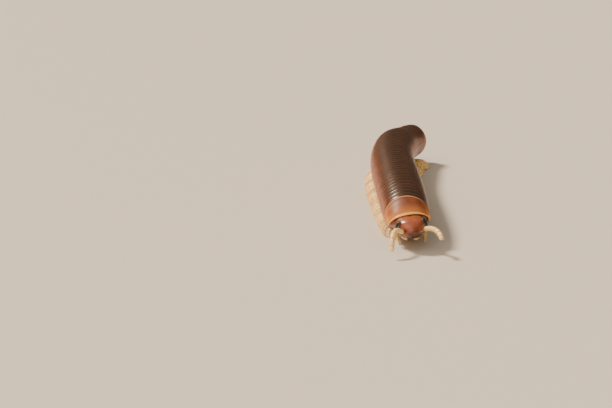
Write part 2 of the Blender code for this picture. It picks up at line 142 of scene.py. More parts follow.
def addNode(tree, kind, settings, out=0):
    # one node: a setting is a property, an input's value, a socket that feeds it, or colour stops
    node = tree.nodes.new("ShaderNode" + kind)
    for key, value in settings.items():
        if key == "stops":
            ramp = node.color_ramp.elements
            while len(ramp) < len(value):
                ramp.new(1.0)
            for element, (place, colour, *cover) in zip(ramp, value):
                element.position = place
                element.color = linear(colour)
                element.alpha = cover[0] if cover else 1.0
        elif isinstance(value, bpy.types.NodeSocket):
            tree.links.new(value, node.inputs[key])
        elif isinstance(key, str) and hasattr(node, key):
            setattr(node, key, value)
        else:
            node.inputs[key].default_value = value
    return node.outputs[out]


def newMaterial(name, settings):
    made = bpy.data.materials.new(name)
    made.use_nodes = True
    shader = made.node_tree.nodes["Principled BSDF"]
    for key, value in settings.items():
        shader.inputs[key].default_value = value
    return made, made.node_tree, shader


def cuticle(name, across, bands, edges, settings, striae=0, hoops=0, grain=0.35, dapple=0.3,
            tones=0.0, polish=0.0):
    # Hardened cuticle. A piece's map goes from its back (0) to its belly (0.5) and counts rings along it:
    # across holds the colours round a ring, bands its shades along it, and edges the colours over its
    # margins, each with how much it covers; on some pieces these hold painted shade and a painted highlight.
    # striae are fine lines along the body in one turn, and hoops are fine lines round it in one ring, both
    # in relief. grain is in mm, dapple and tones are how much the clouds and the rings differ in shade, and
    # polish is how much smoother the margins are
    made, tree, shader = newMaterial(name, settings)
    spot = addNode(tree, "SeparateXYZ", {0: addNode(tree, "UVMap", {"uv_map": "shellMap"})})
    turn, run = spot.node.outputs[0], spot.node.outputs[1]
    where = addNode(tree, "TexCoord", {}, out=3)
    clouds = addNode(tree, "TexNoise", {
        "Vector": where, "Scale": 1.0 / (surface["clouds"] * mm), "Detail": 4.0, "Roughness": 0.6})
    grains = addNode(tree, "TexNoise", {"Vector": where, "Scale": 1.0 / (grain * mm), "Detail": 3.0})
    down = addNode(tree, "Math", {"operation": "ABSOLUTE", 0: turn})
    place = addNode(tree, "Math", {"operation": "FRACT", 0: run})

    # the colours round the piece drift a little with the clouds
    drift = addNode(tree, "Math", {"operation": "MULTIPLY_ADD", 0: clouds, 1: 0.2, 2: -0.1})
    spread = addNode(tree, "Math", {"operation": "MULTIPLY_ADD", 0: down, 1: 2.0, 2: drift})
    colour = addNode(tree, "ValToRGB", {"stops": across, "Fac": spread})
    shades = addNode(tree, "ValToRGB", {"stops": bands, "Fac": place})
    colour = addNode(tree, "Mix", {
        "data_type": "RGBA", "blend_type": "MULTIPLY", 0: 1.0, 6: colour, 7: shades}, out=2)

    # each ring has a tone of its own, and the clouds dapple it
    ring = addNode(tree, "Math", {"operation": "FLOOR", 0: run})
    ring = addNode(tree, "TexWhiteNoise", {"noise_dimensions": "1D", "W": ring})
    tone = addNode(tree, "MapRange", {"Value": ring, "To Min": 1.0 - tones, "To Max": 1.0 + tones})
    spots = addNode(tree, "MapRange", {
        "Value": clouds, "From Min": 0.3, "From Max": 0.72, "To Min": 1.0 - dapple, "To Max": 1.0 + dapple})
    tone = addNode(tree, "Math", {"operation": "MULTIPLY", 0: tone, 1: spots})
    colour = addNode(tree, "Mix", {
        "data_type": "RGBA", "blend_type": "MULTIPLY", 0: 1.0, 6: colour, 7: tone}, out=2)

    # the margins' colours lie over that, with painted shade and a painted highlight among them on some
    # pieces
    margin = addNode(tree, "ValToRGB", {"stops": edges, "Fac": place})
    cover = margin.node.outputs["Alpha"]
    colour = addNode(tree, "Mix", {"data_type": "RGBA", 0: cover, 6: colour, 7: margin}, out=2)
    tree.links.new(colour, shader.inputs["Base Color"])

    rough = settings["Roughness"]
    gloss = addNode(tree, "MapRange", {"Value": grains, "To Min": rough - 0.06, "To Max": rough + 0.1})
    gloss = addNode(tree, "Math", {"operation": "MULTIPLY_ADD", 0: cover, 1: -polish, 2: gloss})
    tree.links.new(gloss, shader.inputs["Roughness"])

    relief = addNode(tree, "Bump", {
        "Strength": 0.3, "Distance": surface["grainDepth"] * mm, "Height": grains})
    if striae:
        # the lines along the body keep to the flanks and to the rear part of a ring
        wave = addNode(tree, "Math", {"operation": "MULTIPLY", 0: turn, 1: 2.0 * math.pi * striae})
        wave = addNode(tree, "Math", {"operation": "SINE", 0: wave})
        rear = addNode(tree, "MapRange", {"Value": place, "From Min": 0.48, "From Max": 0.54})
        flank = addNode(tree, "MapRange", {"Value": down, "From Min": 0.09, "From Max": 0.24})
        kept = addNode(tree, "Math", {"operation": "MULTIPLY", 0: rear, 1: flank})
        wave = addNode(tree, "Math", {"operation": "MULTIPLY", 0: wave, 1: kept})
        relief = addNode(tree, "Bump", {
            "Strength": 0.8, "Distance": surface["striaDepth"] * mm, "Height": wave, "Normal": relief})
    if hoops:
        # the lines round the body keep to the front part of a ring
        wave = addNode(tree, "Math", {"operation": "MULTIPLY", 0: run, 1: 2.0 * math.pi * hoops})
        wave = addNode(tree, "Math", {"operation": "SINE", 0: wave})
        front = addNode(tree, "MapRange", {"Value": place, "From Min": 0.48, "From Max": 0.42})
        wave = addNode(tree, "Math", {"operation": "MULTIPLY", 0: wave, 1: front})
        relief = addNode(tree, "Bump", {
            "Strength": 0.6, "Distance": surface["hoopDepth"] * mm, "Height": wave, "Normal": relief})
    tree.links.new(relief, shader.inputs["Normal"])
    return made


# Ring cuticle, hard and limy under a thin waxy film, which gives it a deep gloss. It is dark olive brown
# on the back and red brown down the flanks, with a brown rear margin, and painted shade lies as a dark line
# at each overlap, where a ring's rear margin hangs over the next
ringShell = cuticle(
    "ring cuticle",
    [(0.0, "352010"), (0.2, "422513"), (0.32, "61341e"), (0.45, "9a5131"), (0.7, "86472b"),
     (0.88, "a5764c"), (1.0, "c29a6e")],
    [(0.0, "a8a098"), (0.12, "dcd5ce"), (0.42, "e4ded8"), (0.455, "968c82"), (0.475, "968c82"),
     (0.52, "f6f2ee"), (0.85, "ffffff")],
    # painted shade: the near black first and last stops, at the overlaps of the rings
    [(0.0, "22150e", 0.6), (0.05, "22150e", 0.0), (0.88, "a06a48", 0.0), (0.93, "a06a48", 0.35),
     (0.975, "7d5036", 0.3), (0.995, "22150e", 0.6)],
    {"Roughness": 0.3, "IOR": 1.52, "Coat Weight": 0.1, "Coat Roughness": 0.15},
    striae=150, hoops=16, tones=0.07)
# Collar cuticle, worn to satin on its crown. It is red brown, and amber where it thins towards the lobes,
# with a polished rolled edge before, and behind a thin pale line that is a painted highlight along the rear
# edge
collarShell = cuticle(
    "collar cuticle",
    [(0.0, "743f26"), (0.2, "82472b"), (0.33, "a6613a"), (0.46, "cc8848"), (0.6, "d69a4e")],
    [(0.0, "ffffff"), (0.09, "b3a59a"), (0.16, "efe6de"), (0.75, "ffffff"), (0.86, "f0e2d2")],
    # painted highlight: the pale first stops, along the rear edge
    [(0.0, "dfa878", 0.9), (0.035, "dba06c", 0.8), (0.06, "5f331d", 0.5), (0.12, "84492f", 0.0),
     (0.5, "c07a48", 0.0), (0.88, "cd8244", 0.65), (0.935, "dd9c50", 0.9), (0.95, "efb264", 1.0),
     (0.99, "f6c074", 1.0)],
    {"Roughness": 0.46, "IOR": 1.5, "Specular IOR Level": 0.38}, dapple=0.32, polish=0.34)
# Head cuticle, smooth and clear under the same film, red brown, with painted shade that darkens it
# underneath, towards and at the mouth, and where it goes in under the collar
headShell = cuticle(
    "head cuticle",
    # painted shade: darker round the head's underside, along it towards the mouth, and at both ends
    [(0.0, "955035"), (0.25, "914c32"), (0.45, "7a4027"), (1.0, "5a331c")],
    [(0.0, "ffffff"), (0.6, "f8f0ea"), (0.82, "d2c2b4"), (0.96, "907868")],
    [(0.0, "4a2311", 0.5), (0.1, "4a2311", 0.0), (0.9, "4a2311", 0.0), (0.99, "3a1a0c", 0.6)],
    {"Roughness": 0.27, "IOR": 1.54, "Coat Weight": 0.15, "Coat Roughness": 0.1}, dapple=0.28)
# Limb cuticle, thin and little tanned, so light passes into it: cream with browner joints
limbShell = cuticle(
    "limb cuticle",
    [(0.0, "ffe19c"), (1.0, "ffcf80")],
    [(0.0, "ecdcc4"), (0.2, "ffffff"), (0.8, "ffffff")],
    [(0.0, "c68f52", 0.6), (0.1, "d8a668", 0.25), (0.2, "cf9857", 0.0), (0.86, "cf9857", 0.0),
     (0.95, "d09a5c", 0.3), (0.985, "b98046", 0.55)],
    {"Roughness": 0.36, "IOR": 1.5,
     "Subsurface Weight": 0.15, "Subsurface Radius": (0.6 * mm, 0.3 * mm, 0.15 * mm)},
    grain=0.12, dapple=0.12)
# Lens cuticle of the eyes, glassy over black pigment
eyeShell = cuticle(
    "eye cuticle",
    [(0.0, "15110f"), (1.0, "0e0b0a")],
    [(0.0, "ffffff"), (0.5, "e8e8e8")],
    [(0.0, "15110f", 0.0), (1.0, "15110f", 0.0)],
    {"Roughness": 0.2, "IOR": 1.6, "Coat Weight": 0.3, "Coat Roughness": 0.1}, grain=0.1, dapple=0.2)
print("materials made")


# Course and girth of the body, from the collar's rear edge

body = {
    "rings": 40, "pitch": 1.5, "start": Vector((-1.76, -26.34)),
    # the pitch changes over a few rings at either end
    "frontPitch": 1.2, "tailPitchShare": 0.86, "pitchRings": 5.0,
    "radius": 3.5, "frontRadius": 3.08, "growth": 9.0, "flattening": 0.2, "belly": 0.05,
    "taper": 0.55, "taperLength": 13.0, "height": 4.45, "droop": 0.75, "droopLength": 7.0,
    "bendStart": 22.5, "bendLength": 40.0, "bend": math.radians(26.0),
}


def ringPitch(ring):
    # length of a ring, counted from 2 behind the collar
    front = smooth((ring - 2) / body["pitchRings"])
    rear = smooth((body["rings"] + 1 - ring) / body["pitchRings"])
    pitch = body["frontPitch"] + (body["pitch"] - body["frontPitch"]) * front
    return pitch * (body["tailPitchShare"] + (1.0 - body["tailPitchShare"]) * rear)


ringStarts = [0.0]
for ring in range(2, body["rings"] + 2):
    ringStarts.append(ringStarts[-1] + ringPitch(ring))
trunkLength = ringStarts[-1]


def heading(s):
    return body["bend"] * max(0.0, (s - body["bendStart"]) / body["bendLength"]) ** 2


def tailShare(s):
    return smooth((s - trunkLength + body["taperLength"]) / body["taperLength"])


def halfWidth(s):
    front = body["radius"] - (body["radius"] - body["frontRadius"]) * math.exp(-max(s, 0.0) / body["growth"])
    return front - body["taper"] * tailShare(s)


def halfHeight(s):
    return halfWidth(s) - body["flattening"] * math.exp(-max(s, 0.0) / body["droopLength"])


def centreHeight(s):
    droop = body["droop"] * math.exp(-max(s, 0.0) / body["droopLength"])
    return body["height"] - droop - body["taper"] * tailShare(s)


def station(s):
    # middle of the body at s, with the directions to the animal's left, up and back
    steps = max(1, int(abs(s) / 0.25))
    plan = body["start"].copy()
    for i in range(steps):
        turn = heading((i + 0.5) * s / steps)
        plan += Vector((math.sin(turn), math.cos(turn))) * (s / steps)
    turn = heading(s)
    rise = (centreHeight(s + 0.1) - centreHeight(s)) / 0.1
    back = Vector((math.sin(turn), math.cos(turn), rise)).normalized()
    side = Vector((math.cos(turn), -math.sin(turn), 0.0))
    return Vector((plan.x, plan.y, centreHeight(s))), side, side.cross(back), back


def bodyRow(s, share, sides):
    # points round the body at s, from the belly up the right side and down the left
    centre, side, up, _ = station(s)
    points, turns = [], []
    for i in range(sides):
        turn = i / sides - 0.5
        across, tall = math.sin(2 * math.pi * turn), math.cos(2 * math.pi * turn)
        belly = 1.0 - body["belly"] * max(0.0, -tall) ** 2
        points.append(centre + side * (halfWidth(s) * share * across)
                      + up * (halfHeight(s) * share * belly * tall))
        turns.append(turn)
    return points, turns


# Trunk: forty rings, each with its hidden front part, a suture and a raised rear margin

trunk = {
    "sides": 72,
    # the rounded front of the first ring, below the collar: place in mm and share of the radius,
    # and its one place on the map
    "front": ((-0.8, 0.7), (-0.68, 0.8), (-0.5, 0.87), (-0.3, 0.92), (-0.1, 0.94)), "frontMark": 2.2,
    # share of the ring's length and of the radius
    "profile": ((0.0, 0.945), (0.04, 0.955), (0.2, 0.964), (0.42, 0.9765), (0.455, 0.9715), (0.475, 0.9715),
                (0.51, 0.981), (0.7, 0.99), (0.86, 0.997), (0.93, 1.0), (0.965, 0.996), (0.985, 0.982),
                (0.99, 0.962)),
}
bm = bmesh.new()
rows, marks = [], []
for s, share in trunk["front"]:
    points, turns = bodyRow(s, share, trunk["sides"])
    rows.append(points)
    marks.append([(turn, trunk["frontMark"]) for turn in turns])
for ring in range(2, body["rings"] + 2):
    for place, share in trunk["profile"]:
        points, turns = bodyRow(ringStarts[ring - 2] + place * ringPitch(ring), share, trunk["sides"])
        rows.append(points)
        marks.append([(turn, ring + place) for turn in turns])
sweep(bm, rows, marks, wrap=1.0)
rings = finishPiece("rings", bm, ringShell, [f"trunk_{n}" for n in range(1, 9)])
print("rings", len(rings.data.polygons))


# Pores: a small rimmed opening on each flank, from the sixth ring on

pore = {
    "firstRing": 6, "place": 0.55, "turn": 0.235, "share": 0.983, "radius": 0.13, "sides": 10,
    # width and height of the rim, then of the wall that drops into the hole
    "rim": (0.045, 0.035), "wall": (0.03, -0.09),
    # places along a ring's map: the hole's floor takes the overlap's dark painted shade, so that it looks
    # deep, and the rest is coloured as a suture
    "holeShadeMark": 0.99, "rimMark": 0.47,
}
bm = bmesh.new()
uv = bm.loops.layers.uv.new("shellMap")
for ring in range(pore["firstRing"], body["rings"] + 1):
    s = ringStarts[ring - 2] + pore["place"] * ringPitch(ring)
    centre, side, up, back = station(s)
    for hand in (1, -1):
        turn = 2 * math.pi * pore["turn"] * hand
        out = side * math.sin(turn) + up * math.cos(turn)
        spot = centre + side * (halfWidth(s) * pore["share"] * math.sin(turn))
        spot += up * (halfHeight(s) * pore["share"] * math.cos(turn))
        made = bmesh.ops.create_circle(
            bm, cap_ends=True, segments=pore["sides"], radius=pore["radius"])["verts"]
        hole = list({face for v in made for face in v.link_faces})
        faces = list(hole)
        for width, height in (pore["rim"], pore["wall"]):
            faces += bmesh.ops.inset_individual(bm, faces=hole, thickness=width, depth=height)["faces"]
        turned = Matrix((back, out.cross(back), out)).transposed()
        for v in {v for face in faces for v in face.verts}:
            v.co = spot + turned @ v.co
        for face in faces:
            mark = pore["holeShadeMark"] if face in hole else pore["rimMark"]
            for corner in face.loops:
                corner[uv].uv = (pore["turn"], ring + mark)
pores = finishPiece("pores", bm, ringShell)
print("pores", len(pores.data.polygons))


# Legs: two pairs to a ring, one on the first three

legs = {
    "places": (0.27, 0.73), "single": (2, 3, 4), "legless": 2, "sides": 6,
    # the walking wave, counted in pairs, and the foremost pairs, which stand except for the first
    "wave": 10, "waveStart": 6.5, "swing": 0.45, "lift": 0.45, "leastLift": 0.12, "standing": 4,
    "frontSpread": 2.5, "spread": 4.85, "spreadLength": 25.0,
    # the first pair reaches forward beside the mouth, and those behind it less and less
    "reach": 2.6, "narrowing": 1.7, "hang": 1.25, "turn": math.radians(9.0), "fade": 1.6,
    "bow": 1.3, "bowLength": 9.0, "kneeRise": 0.75, "frontKneeDrop": 0.2,
    # the second pair is in mid-step: how far it leans to the animal's left, and its right leg's longer reach
    "lean": 0.55, "leanPairs": 1.2, "stride": 1.45, "stridePairs": 0.7,
    # the sunk end and the hip: from the middle line, above the belly
    "roots": ((0.75, 1.1), (0.95, 0.1)), "rootRadius": 0.2,
    # the knee and the shin: share of the reach, of the spread and of the bow
    "knee": (0.5, 0.72, 1.0), "shin": (0.82, 0.93, 0.6),
    # how much the bow lifts the knee, and how much of the knee's height the shin keeps
    "bowRise": 0.3, "shinRise": 0.45,
    # where each article ends along the leg, and its thickness
    "articles": ((0.2, 0.285), (0.4, 0.275), (0.58, 0.255), (0.72, 0.235), (0.85, 0.205), (0.96, 0.16)),
    # place along an article and share of its thickness
    "swelling": ((0.1, 0.86), (0.78, 1.0)),
    "clawPlace": 0.965, "clawRadii": (0.1, 0.035), "clawRise": 0.05, "clawMark": 5.97,
    # how much the legs differ by chance, and how far a leg's map goes round
    "unlike": 0.09, "mapTurn": 0.3,
}
pairs = []
for ring in range(2, body["rings"] + 2 - legs["legless"]):
    for place in (0.5,) if ring in legs["single"] else legs["places"]:
        pairs.append(ringStarts[ring - 2] + place * ringPitch(ring))


def legCentres(index, s, hand):
    # from inside the belly over the hip, knee and shin to the claw
    centre, side, _, back = station(s)
    phase = 2.0 * math.pi * (index - legs["waveStart"]) / legs["wave"]
    near = math.exp(-index / legs["fade"])
    reach = legs["reach"] * near - legs["swing"] * math.sin(phase) * (1.0 - near)
    lean = legs["lean"] * bump(index - 1, legs["leanPairs"])
    if hand < 0:
        reach += legs["stride"] * bump(index - 1, legs["stridePairs"])
    wide = 1.0 - math.exp(-s / legs["spreadLength"])
    spread = legs["frontSpread"] + (legs["spread"] - legs["frontSpread"]) * wide
    spread -= legs["narrowing"] * near
    reach += legs["unlike"] * rand.uniform(-1.0, 1.0)
    lift = legs["lift"] * max(0.0, math.cos(phase)) ** 2
    height = 0.0 if lift < legs["leastLift"] or index < legs["standing"] else lift
    if index == 0:
        height = legs["hang"]
    belly = centre.z - halfHeight(s) * (1.0 - body["belly"])
    knee = 0.5 * (height + belly) + legs["kneeRise"] + legs["unlike"] * rand.uniform(-1.0, 1.0)
    knee += (belly - legs["frontKneeDrop"] - knee) * near
    bow = legs["bow"] * math.exp(-s / legs["bowLength"]) * (1.0 - near)
    forward = side * math.sin(legs["turn"] * near) - back * math.cos(legs["turn"] * near)
    shin = legs["shinRise"] * knee + (1.0 - legs["shinRise"]) * height
    path = [(0.0, out, belly + above) for out, above in legs["roots"]]
    for (share, out, bent), z in ((legs["knee"], knee + legs["bowRise"] * bow), (legs["shin"], shin)):
        path.append((share, out * spread + bent * bow, z))
    path.append((1.0, spread, height))
    made = []
    for share, out, z in path:
        spot = centre + side * (hand * out + lean * min(1.0, 2.0 * share)) + forward * (reach * share)
        made.append(Vector((spot.x, spot.y, z)))
    return made


def tubeRows(centres, radii, sides):
    # rings of points square to a path
    rows, across = [], None
    angles = [2 * math.pi * j / sides for j in range(sides)]
    for i, (centre, radius) in enumerate(zip(centres, radii)):
        along = (centres[min(i + 1, len(centres) - 1)] - centres[max(i - 1, 0)]).normalized()
        across = along.orthogonal() if across is None else across - along * across.dot(along)
        across.normalize()
        other = along.cross(across)
        rows.append([centre + (across * math.cos(a) + other * math.sin(a)) * radius for a in angles])
    return rows


def alongPath(points, share):
    # a point on a smooth curve through points, share from 0 to 1 of its straight lengths
    lengths = [0.0]
    for a, b in zip(points, points[1:]):
        lengths.append(lengths[-1] + (b - a).length)
    table = [(length / lengths[-1], *point) for length, point in zip(lengths, points)]
    return Vector(spline(table, share))


def addLeg(bm, index, s, hand):
    path = legCentres(index, s, hand)
    centres, radii, values = [path[0]], [legs["rootRadius"]], [0.0]
    start = 0.0
    for number, (end, radius) in enumerate(legs["articles"]):
        for place, share in legs["swelling"]:
            centres.append(alongPath(path[1:], start + place * (end - start)))
            radii.append(radius * share)
            values.append(number + place)
        start = end
    centres += [alongPath(path[1:], legs["clawPlace"]), path[-1] + Vector((0.0, 0.0, legs["clawRise"]))]
    radii += legs["clawRadii"]
    values += [legs["clawMark"], legs["clawMark"]]
    rows = tubeRows(centres, radii, legs["sides"])
    turns = [legs["mapTurn"] * abs(2 * j / legs["sides"] - 1) for j in range(legs["sides"])]
    sweep(bm, rows, [[(turn, value) for turn in turns] for value in values])


bm = bmesh.new()
for index, s in enumerate(pairs):
    # a pair is made in a mesh of its own, which is much quicker, and then added
    one = bmesh.new()
    for hand in (1, -1):
        addLeg(one, index, s, hand)
    part = bpy.data.meshes.new("legPair")
    one.to_mesh(part)
    one.free()
    bm.from_mesh(part)
    bpy.data.meshes.remove(part)
for v in bm.verts:
    v.co.z = max(0.0, v.co.z)  # no claw goes below the floor
walkingLegs = finishPiece("legs", bm, limbShell)
rounding = walkingLegs.modifiers.new("subdivision", "SUBSURF")
rounding.levels = 1
rounding.render_levels = 1
print("legs", len(walkingLegs.data.polygons))


# Collar: a shield over the neck, with a rolled edge

collar = {
    "halfWidth": 2.8, "rise": 1.6, "base": -0.4, "lobeReach": 1.68, "topReach": 3.15, "start": 0.15,
    "lobe": math.radians(112.0), "throat": 0.86, "throatDepth": 1.4, "throatBlend": 0.7, "steps": 84,
    "yaw": math.radians(8.0), "roll": math.radians(6.5), "fullness": 0.8,
    # place from the rear edge to the front one, and how far it stands proud
    "profile": ((-0.05, -0.03), (-0.03, 0.035), (0.02, 0.05), (0.05, 0.0), (0.1, 0.0), (0.2, 0.0),
                (0.32, 0.0), (0.44, 0.0), (0.56, 0.0), (0.68, 0.0), (0.78, 0.0), (0.87, 0.0),
                (0.92, -0.03), (0.94, 0.0), (0.955, 0.045), (0.975, 0.06), (1.0, 0.03), (1.01, -0.05)),
    "lining": ((0.97, -0.16), (0.6, -0.16), (0.3, -0.16), (-0.03, -0.13)),
    # the rear edge swings forward down the flanks, and the lobes' lower ends are rounded towards a place,
    # where the edges stand less proud
    "notch": 0.4, "notchStart": 0.36, "roundStart": 0.88, "roundPlace": 0.8, "roundness": 0.97,
    "endProud": 0.4,
}


def frontDirections(share):
    # the collar and head turn to the animal's left and roll, going forward
    baseUp = station(0.0)[2]
    turn, roll = collar["yaw"] * share, collar["roll"] * share
    level = Vector((math.cos(turn), math.sin(turn), 0.0))
    up = baseUp.lerp(Vector((0.0, 0.0, 1.0)), share).normalized()
    side = level * math.cos(roll) + up * math.sin(roll)
    return side, up * math.cos(roll) - level * math.sin(roll), level.cross(up)


def frontPoint(side, up, forward, share=1.0):
    across, upward, _ = frontDirections(share)
    return station(0.0)[0] + across * side + upward * up + frontDirections(0.5 * share)[2] * forward


def edgeReach(up):
    # how far forward the slanted front edge lies at a height above the middle line
    slope = (collar["topReach"] - collar["lobeReach"]) / collar["rise"]
    return collar["lobeReach"] + slope * (up - collar["base"])


def collarEdge(angle):
    # side and up of the front edge at an angle from the top, and below the lobes of the throat
    if abs(angle) <= collar["lobe"]:
        turn = 0.5 * math.pi * angle / collar["lobe"]
        return collar["halfWidth"] * math.sin(turn), collar["base"] + collar["rise"] * math.cos(turn)
    turn = 0.5 * math.pi * (abs(angle) - collar["lobe"]) / (math.pi - collar["lobe"])
    narrow = 1.0 - (1.0 - collar["throat"]) * smooth(turn / collar["throatBlend"])
    side = narrow * collar["halfWidth"] * math.cos(turn)
    return math.copysign(side, angle), collar["base"] - collar["throatDepth"] * math.sin(turn)


def collarPoint(angle, share, proud=0.0, throat=1.0):
    # share is 0 at the rear edge and 1 at the front one, proud is out of the surface
    frontSide, frontUp = collarEdge(angle)
    crown = math.cos(0.5 * math.pi * min(1.0, max(0.0, share)))
    rearSide, rearUp = halfWidth(0.0) * throat * math.sin(angle), halfHeight(0.0) * throat * math.cos(angle)
    side = frontSide + (rearSide - frontSide) * crown ** collar["fullness"]
    up = frontUp + (rearUp - frontUp) * crown
    scale = 1.0 + proud / math.hypot(side, up)
    forward = share * edgeReach(frontUp) + collar["start"]
    return frontPoint(side * scale, up * scale, forward, share)


def collarShare(angle, place):
    # where a place between the plate's rear edge and its front one lies, and how long the plate is there
    far = abs(angle) / collar["lobe"]
    rear = collar["notch"] * smooth((far - collar["notchStart"]) / (1.0 - collar["notchStart"]))
    share = rear + (1.0 - rear) * place
    ending = min(1.0, max(0.0, (far - collar["roundStart"]) / (1.0 - collar["roundStart"])))
    length = math.sqrt(1.0 - collar["roundness"] * ending ** 2)
    return collar["roundPlace"] + (share - collar["roundPlace"]) * length, length


bm = bmesh.new()
rows, marks = [], []
for i in range(collar["steps"] + 1):
    angle = collar["lobe"] * (2.0 * i / collar["steps"] - 1.0)
    row, values = [], []
    for place, proud in collar["profile"] + collar["lining"]:
        share, length = collarShare(angle, place)
        proud *= collar["endProud"] + (1.0 - collar["endProud"]) * length
        row.append(collarPoint(angle, share, proud))
        mark = max(0.0, min(0.99, place))
        if place > 0.5:
            # the front margin's colours spread where a lobe ends
            mark = min(0.99, 0.5 + (mark - 0.5) * (2.0 - length))
        values.append((angle / (2 * math.pi), mark))
    rows.append(row)
    marks.append(values)
sweep(bm, rows, marks)
shield = finishPiece("collar", bm, collarShell, ["collum"])
print("collar", len(shield.data.polygons))

# the neck comes out of the first ring under the collar, and grows pale towards the throat
neckSkin = {
    # places go from the rear to the domed end, and are closer there
    "sides": 72,
    "places": (-0.2, -0.08, 0.04, 0.16, 0.3, 0.45, 0.6, 0.7, 0.79, 0.86, 0.91, 0.95, 0.975, 0.99),
    # how far it lies inside the collar, what is added to that at its root and tip, and where these lie
    "inset": 0.2, "rootInset": 0.22, "rootEnd": 0.3, "tipInset": 0.85, "tipStart": 0.45,
    # how much narrower the throat is, from where down its sides, and over how much of a turn
    "throat": 0.16, "throatStart": collar["lobe"] - 0.2, "throatBlend": 0.6,
    # where it is pale: from which angle, over how much of a turn, and by which place it is fully so
    "paleStart": 1.7, "paleBlend": 0.5, "palePlace": 0.6,
    # on the map, its turn, what is added where it is pale, and its first place along a ring and their range
    "turn": 0.3, "paleTurn": 0.16, "firstMark": 0.1, "markRange": 0.3,
}
bm = bmesh.new()
rows, marks = [], []
for share in neckSkin["places"]:
    ending = max(0.0, (share - neckSkin["tipStart"]) / (1.0 - neckSkin["tipStart"]))
    inset = neckSkin["inset"] + neckSkin["rootInset"] * (1.0 - smooth(share / neckSkin["rootEnd"]))
    inset += neckSkin["tipInset"] * (1.0 - math.sqrt(1.0 - ending ** 2))
    mark = neckSkin["firstMark"] + neckSkin["markRange"] * max(0.0, share)
    row, values = [], []
    for i in range(neckSkin["sides"]):
        angle = 2.0 * math.pi * (i / neckSkin["sides"] - 0.5)
        narrow = smooth((abs(angle) - neckSkin["throatStart"]) / neckSkin["throatBlend"])
        row.append(collarPoint(angle, share, -inset, throat=1.0 - neckSkin["throat"] * narrow))
        pale = smooth((abs(angle) - neckSkin["paleStart"]) / neckSkin["paleBlend"])
        pale *= smooth(share / neckSkin["palePlace"])
        values.append((neckSkin["turn"] + neckSkin["paleTurn"] * pale, mark))
    rows.append(row)
    marks.append(values)
sweep(bm, rows, marks)
neck = finishPiece("neck", bm, ringShell)
print("neck", len(neck.data.polygons))


# Head: a rounded capsule with the plates of the jaws and of the lower lip

head = {
    "sides": 72, "squareness": 2.3, "height": 0.25, "shift": -0.1, "gap": 0.405, "length": 3.2,
    # out from the collar's front edge, and the section's middle, half height and half width
    "sections": ((-1.2, -0.1, 0.85, 1.5), (-0.5, 0.0, 1.1, 1.82), (0.0, 0.04, 1.28, 1.98),
                 (0.6, 0.13, 1.63, 2.04), (1.2, 0.35, 1.67, 1.98), (1.8, 0.60, 1.46, 1.64),
                 (2.35, 0.80, 1.15, 1.24), (2.8, 0.96, 0.77, 0.88), (3.05, 1.02, 0.44, 0.64),
                 (3.18, 1.03, 0.18, 0.40)),
    # where its rows of points lie: evenly over the crown, and closer at the lip line and the mouth
    "rearRows": (-1.2, -0.7, -0.3, 0.0), "crownRows": 14, "crownStep": 0.15,
    "lipRows": (2.22, 2.3, 2.38, 2.46, 2.55, 2.65, 2.7, 2.75, 2.8, 2.87, 2.95, 3.02, 3.08, 3.13, 3.17),
    # places on it: out from the collar's edge, angle from the top
    "eye": (1.1, math.radians(64.0)), "socket": (2.15, math.radians(70.0)),
    # the jaws' hinge and cutting plates and the lower lip's: place, half sizes, depth, place on the map
    "plates": (((1.05, math.radians(122.0)), (0.62, 0.7, 0.3), 0.2, (0.26, 0.6)),
               ((1.85, math.radians(126.0)), (0.5, 0.55, 0.3), 0.2, (0.26, 0.6)),
               ((1.9, math.radians(168.0)), (0.85, 0.38, 0.16), 0.1, (0.4, 0.6))),
}
frontSide, frontUp, frontForward = frontDirections(1.0)
slope = Vector((0.0, collar["rise"], collar["topReach"] - collar["lobeReach"])).normalized()
headTall = (frontUp * slope.y + frontForward * slope.z).normalized()
headOut = (frontForward * slope.y - frontUp * slope.z).normalized()
headCentre = frontPoint(head["shift"], head["height"], edgeReach(head["height"])) + headOut * head["gap"]


def headPoint(out, around, inward=0.0):
    # around goes from the head's top towards the animal's left
    middle, tall, wide = spline(head["sections"], out)
    power = 2.0 / head["squareness"]
    side = (wide - inward) * math.copysign(abs(math.sin(around)) ** power, math.sin(around))
    up = middle + (tall - inward) * math.copysign(abs(math.cos(around)) ** power, math.cos(around))
    return headCentre + frontSide * side + headTall * up + headOut * out


def headAxes(place, hand):
    # along the head, across it, and out of it, at a place on its surface
    out, around = place[0], hand * place[1]
    along = headPoint(out + 0.1, around) - headPoint(out - 0.1, around)
    across = headPoint(out, around + 0.1) - headPoint(out, around - 0.1)
    normal = across.cross(along).normalized()
    if normal.dot(frontSide * math.sin(around) + headTall * math.cos(around)) < 0.0:
        normal.negate()
    along.normalize()
    return along, normal.cross(along), normal


def headRelief(out, around):
    # how far the surface lies below the plain capsule
    top = abs(around)
    fromSocket = math.hypot(out - head["socket"][0], (top - head["socket"][1]) * 1.5)
    sunk = 0.05 * bump(top, 0.035) * smooth((1.75 - out) / 0.3)  # the seam down the crown
    sunk += 0.045 * bump(out - 2.38, 0.07) * smooth((1.25 - top) / 0.25)  # the line above the lip
    sunk += 0.17 * bump(fromSocket, 0.3)
    sunk += 0.3 * bump(out - 2.75, 0.07) * smooth((top - 1.9) / 0.3)  # the mouth
    sunk += 0.06 * bump(top - 1.75, 0.08) * smooth((out - 0.6) / 0.4)  # the line over the jaws
    sunk += 0.1 * bump(top, 0.16) * smooth((out - 2.95) / 0.15)  # the notch in the lip
    return sunk


